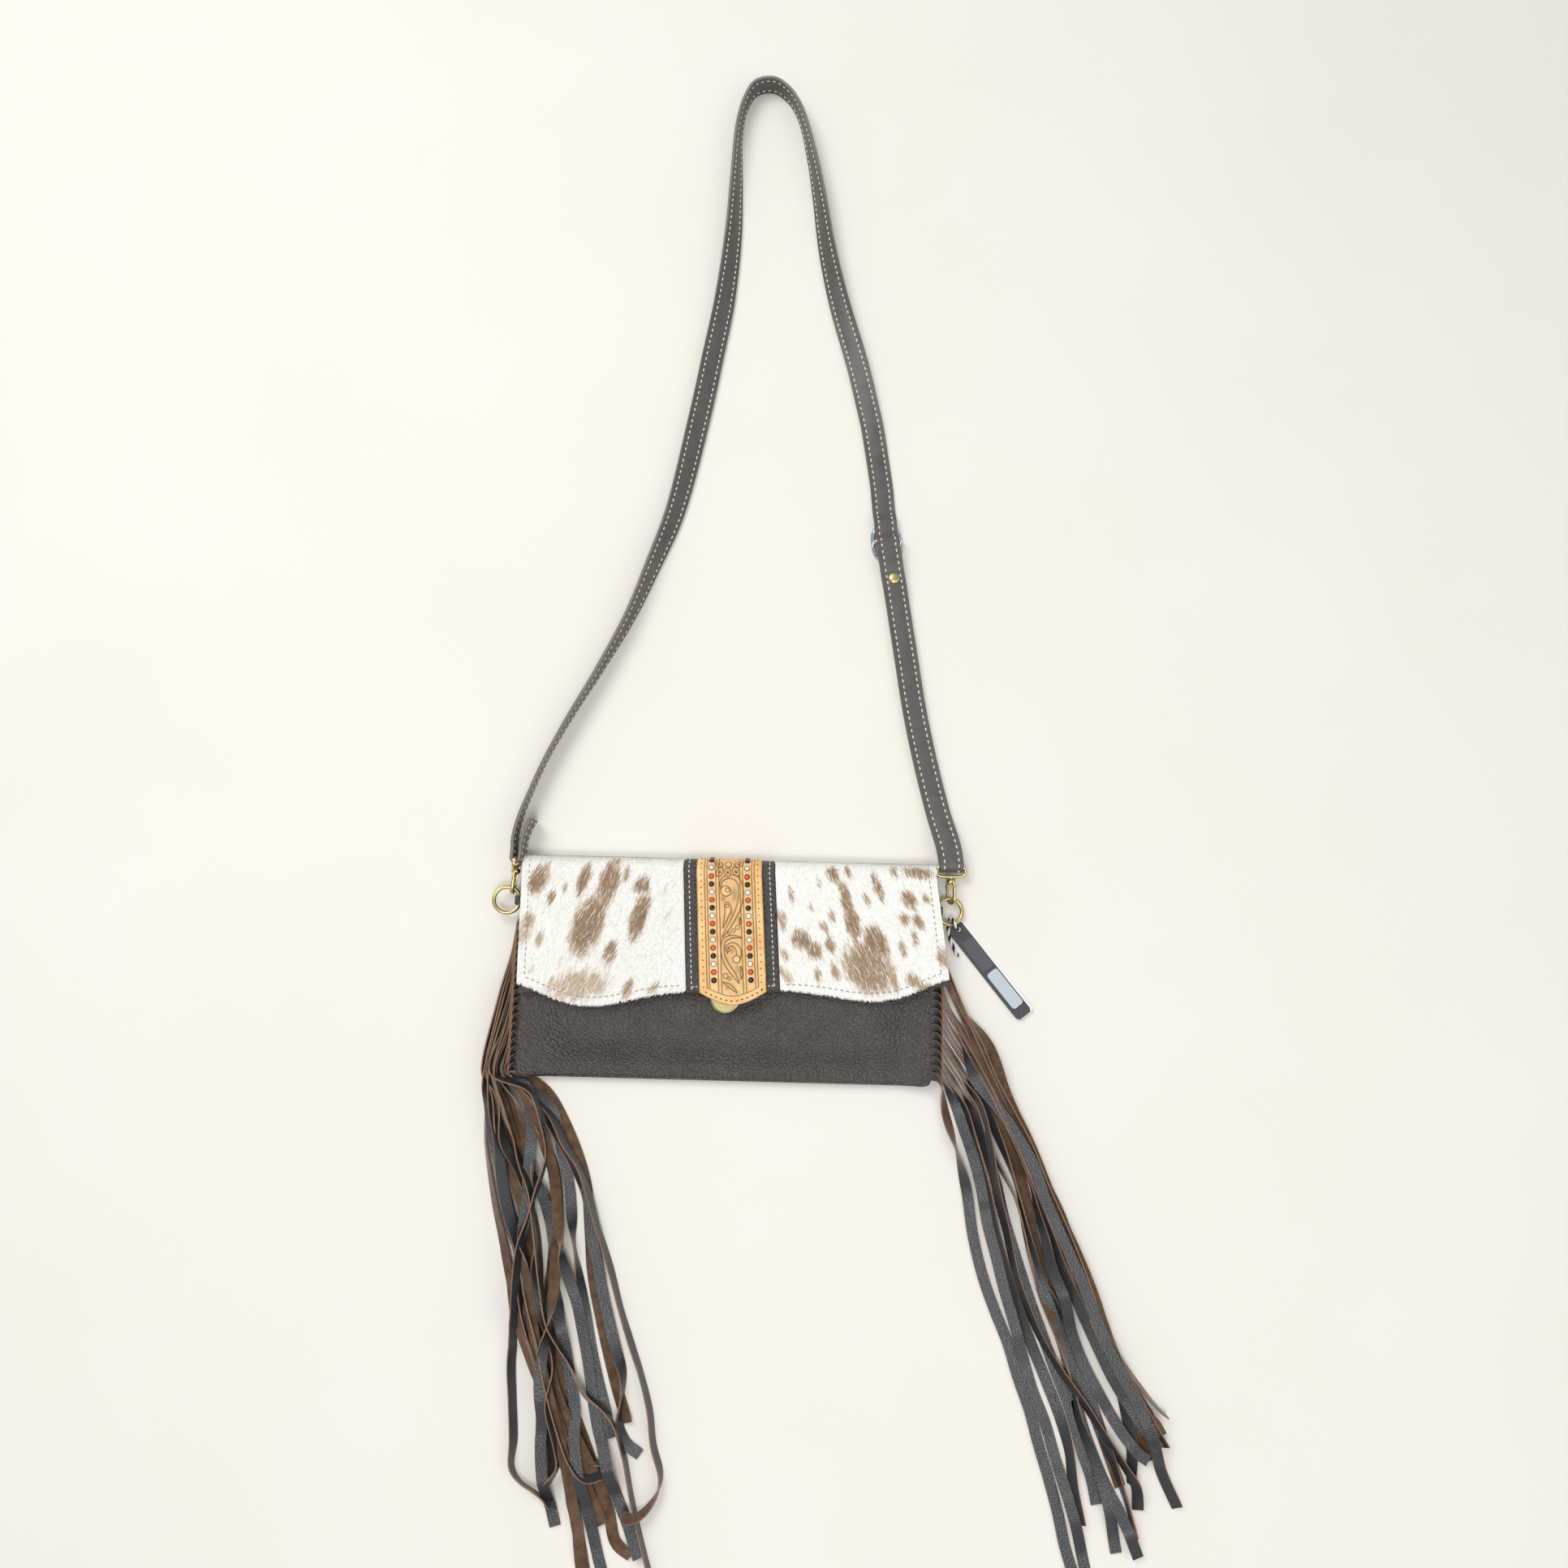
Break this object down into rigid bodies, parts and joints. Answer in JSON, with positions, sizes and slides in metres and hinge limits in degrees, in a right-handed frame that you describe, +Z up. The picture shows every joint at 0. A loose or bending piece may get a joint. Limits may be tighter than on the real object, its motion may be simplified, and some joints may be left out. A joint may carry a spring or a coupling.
{
  "type": "fringed crossbody clutch",
  "caption": "Flat crossbody clutch lying on its back, with a two-lobed hide flap, a tooled strip with set stones, long side fringe, swivel hooks and a slim adjustable strap laid out above it",
  "frame": {"origin": "On the back panel's flat outer face, midway between the bag's sides", "axes": "+Z up from the floor through the flap; +Y towards the flap's fold and the strap; +X to the side with the hang tag"},
  "size_m": [0.4187, 0.9848, 0.0249],
  "materials": {
    "pebbled_leather": "soft pebbled grain",
    "suede": "napped suede with a grain side",
    "lining_cloth": "woven",
    "hair_on_hide": "short hair, spotted",
    "tooled_leather": "burnished and carved",
    "light_brass": "polished pale brass",
    "nickel": "bright",
    "tag_card": "dark textured strip",
    "sticker_paper": "matt, bare",
    "twisted_cord": "black and white twist"
  },
  "bodies": {
    "bag": {"front_panel": "pebbled_leather", "back_panel": "pebbled_leather", "lining": "lining_cloth", "snap_female": "light_brass", "fringe_left": "suede", "fringe_right": "suede", "ring_tab_left": "pebbled_leather", "ring_tab_right": "pebbled_leather", "hook_eye_left": "light_brass", "hook_eye_right": "light_brass", "strap": "pebbled_leather", "strap_slider": "nickel", "strap_rivet": "light_brass"},
    "flap": {"flap_lining": "pebbled_leather", "flap_fold": "pebbled_leather", "flap_hide_left": "hair_on_hide", "flap_hide_right": "hair_on_hide", "flap_band": "pebbled_leather", "tooled_strip": "tooled_leather", "snap_male": "light_brass"},
    "swing_ring_left": {"ring_left": "light_brass"},
    "swing_ring_right": {"ring_right": "light_brass"},
    "swivel_left": {"hook_left": "light_brass"},
    "swivel_right": {"hook_right": "light_brass"},
    "gate_left": {"hook_gate_left": "light_brass"},
    "gate_right": {"hook_gate_right": "light_brass"},
    "tag": {"hang_tag": "tag_card", "tag_sticker": "sticker_paper", "tag_string": "twisted_cord"}
  },
  "joints": [
    {"name": "flap_hinge", "type": "hinge", "parent": "bag", "child": "flap", "pos_m": [0, 0.061, 0.0076], "axis": [-1, 0, 0], "range_deg": [0, 105], "deforming": ["flap_fold"]},
    {"name": "ring_left_swing", "type": "hinge", "parent": "bag", "child": "swing_ring_left", "pos_m": [-0.1319, 0.04, 0.00635], "axis": [0, 1, 0], "range_deg": [-2, 4]},
    {"name": "ring_right_swing", "type": "hinge", "parent": "bag", "child": "swing_ring_right", "pos_m": [0.1319, 0.04, 0.00635], "axis": [0, 1, 0], "range_deg": [-2, 3]},
    {"name": "hook_left_swivel", "type": "hinge", "parent": "bag", "child": "swivel_left", "pos_m": [-0.13636, 0.04822, 0.00748], "axis": [0.1229, 0.976, 0.18], "range_deg": [-4, 8]},
    {"name": "hook_right_swivel", "type": "hinge", "parent": "bag", "child": "swivel_right", "pos_m": [0.1405, 0.04896, 0.00465], "axis": [-0.0167, 0.9896, 0.1432], "range_deg": [-8, 4]},
    {"name": "gate_left_hinge", "type": "hinge", "parent": "swivel_left", "child": "gate_left", "pos_m": [-0.13531, 0.05658, 0.00532], "axis": [-0.9922, 0.1249, 0], "range_deg": [0, 25], "stiffness_Nm_per_rad": 0.01},
    {"name": "gate_right_hinge", "type": "hinge", "parent": "swivel_right", "child": "gate_right", "pos_m": [0.13853, 0.0572, 0.00265], "axis": [-0.8647, -0.0862, 0.4948], "range_deg": [0, 25], "stiffness_Nm_per_rad": 0.01},
    {"name": "tag_swing", "type": "hinge", "parent": "swing_ring_right", "child": "tag", "pos_m": [0.14093, 0.03198, 0.00443], "axis": [0, 0, 1], "range_deg": [-20, 20]}
  ]
}
